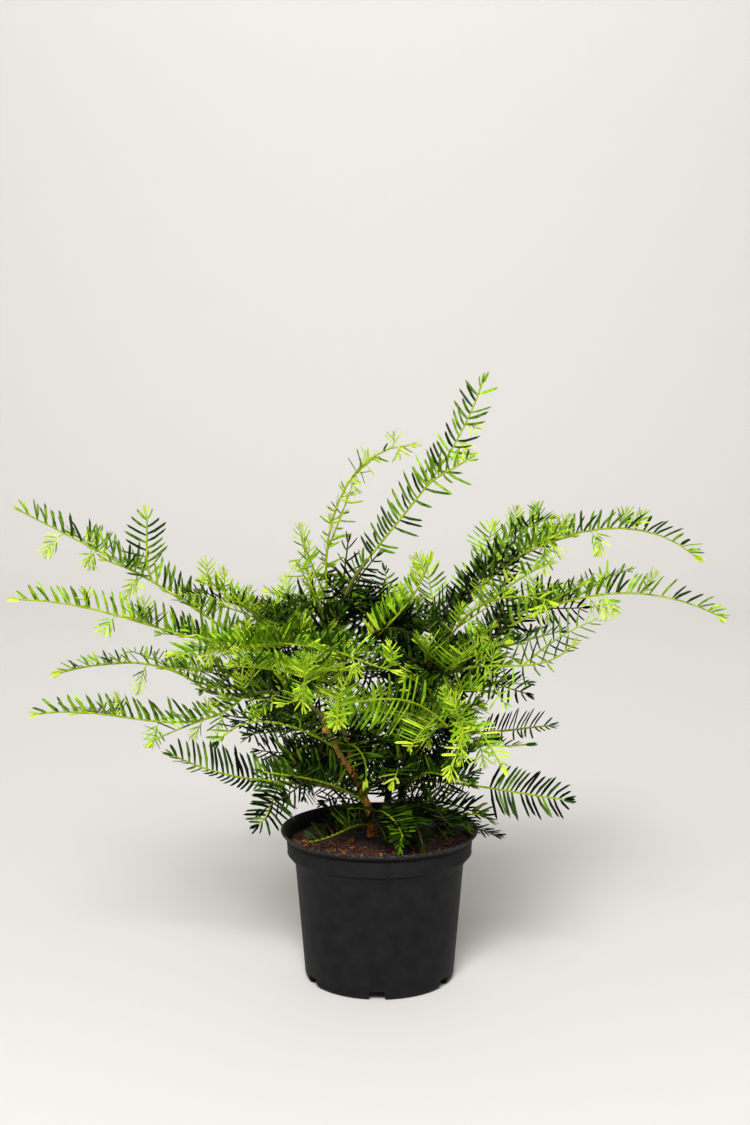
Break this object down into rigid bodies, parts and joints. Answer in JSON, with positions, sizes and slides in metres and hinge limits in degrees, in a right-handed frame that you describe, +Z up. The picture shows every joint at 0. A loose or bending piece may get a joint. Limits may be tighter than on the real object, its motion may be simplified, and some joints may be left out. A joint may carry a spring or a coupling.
{
  "type": "potted creeping yew",
  "caption": "Young creeping yew with slender leaning stems and long spreading sprays of needles, growing in a round plastic nursery pot filled with bark soil.",
  "frame": {"origin": "centre of the pot's flat underside, on the surface that it stands on", "axes": "+Z up, +X to the right along the longest spread of the shoots, +Y to the back, so the front of the plant faces -Y"},
  "size_m": [0.662, 0.4767, 0.5734],
  "materials": {
    "pot": "moulded polypropylene, charcoal black, satin",
    "soil": "dark red-brown bark soil with tan chips",
    "bark": "thin orange-brown bark with fine ridges and nodes",
    "green_bark": "green-brown bark of young shoots",
    "needles_dark": "dark green older needles, slightly waxy",
    "needles_middle": "mid green needles, slightly waxy",
    "needles_fresh": "fresh yellow-green needles, slightly waxy"
  },
  "bodies": {
    "root": {"pot": "pot", "soil": "soil", "stem_front": "bark", "stem_middle": "bark", "stem_leader": "bark", "stem_right": "bark", "stem_back": "bark", "bough_leader": "green_bark", "bough_left_top": "green_bark", "bough_left_upper": "green_bark", "bough_left_arm": "green_bark", "bough_left_back": "green_bark", "bough_left_low": "green_bark", "bough_right_top": "green_bark", "bough_right_mid": "green_bark", "bough_right_front": "green_bark", "bough_right_back": "green_bark", "bough_back_left": "green_bark", "bough_back_mid": "green_bark", "bough_back_right": "green_bark", "bough_front_mid": "green_bark", "bough_front_right": "green_bark", "foliage_left_top": "needles_middle", "foliage_left_upper": "needles_middle", "foliage_left_middle": "needles_middle", "foliage_left_lower": "needles_middle", "foliage_left_low": "needles_dark", "foliage_left_back": "needles_dark", "foliage_left_inner": "needles_fresh", "foliage_leader": "needles_middle", "foliage_upright_thin": "needles_fresh", "foliage_upright_left": "needles_fresh", "foliage_upright_right": "needles_fresh", "foliage_upright_back": "needles_dark", "foliage_right_top": "needles_middle", "foliage_right_crest": "needles_middle", "foliage_right_upper": "needles_middle", "foliage_right_bright": "needles_fresh", "foliage_right_thin": "needles_middle", "foliage_right_small": "needles_dark", "foliage_right_back": "needles_dark", "foliage_right_side": "needles_dark", "foliage_right_low": "needles_dark", "foliage_right_foot": "needles_dark", "foliage_right_far": "needles_dark", "foliage_front_mid": "needles_fresh", "foliage_front_low": "needles_fresh", "foliage_front_right": "needles_middle", "foliage_front_cluster": "needles_fresh", "foliage_front_foot": "needles_dark", "foliage_over_soil": "needles_middle", "foliage_front_left": "needles_fresh", "foliage_front_star": "needles_dark", "foliage_front_low_left": "needles_dark", "foliage_front_low_right": "needles_dark", "foliage_back_left": "needles_middle", "foliage_back_mid": "needles_middle", "foliage_back_right": "needles_middle", "foliage_back_low": "needles_dark", "foliage_back_upper": "needles_middle"}
  },
  "joints": []
}
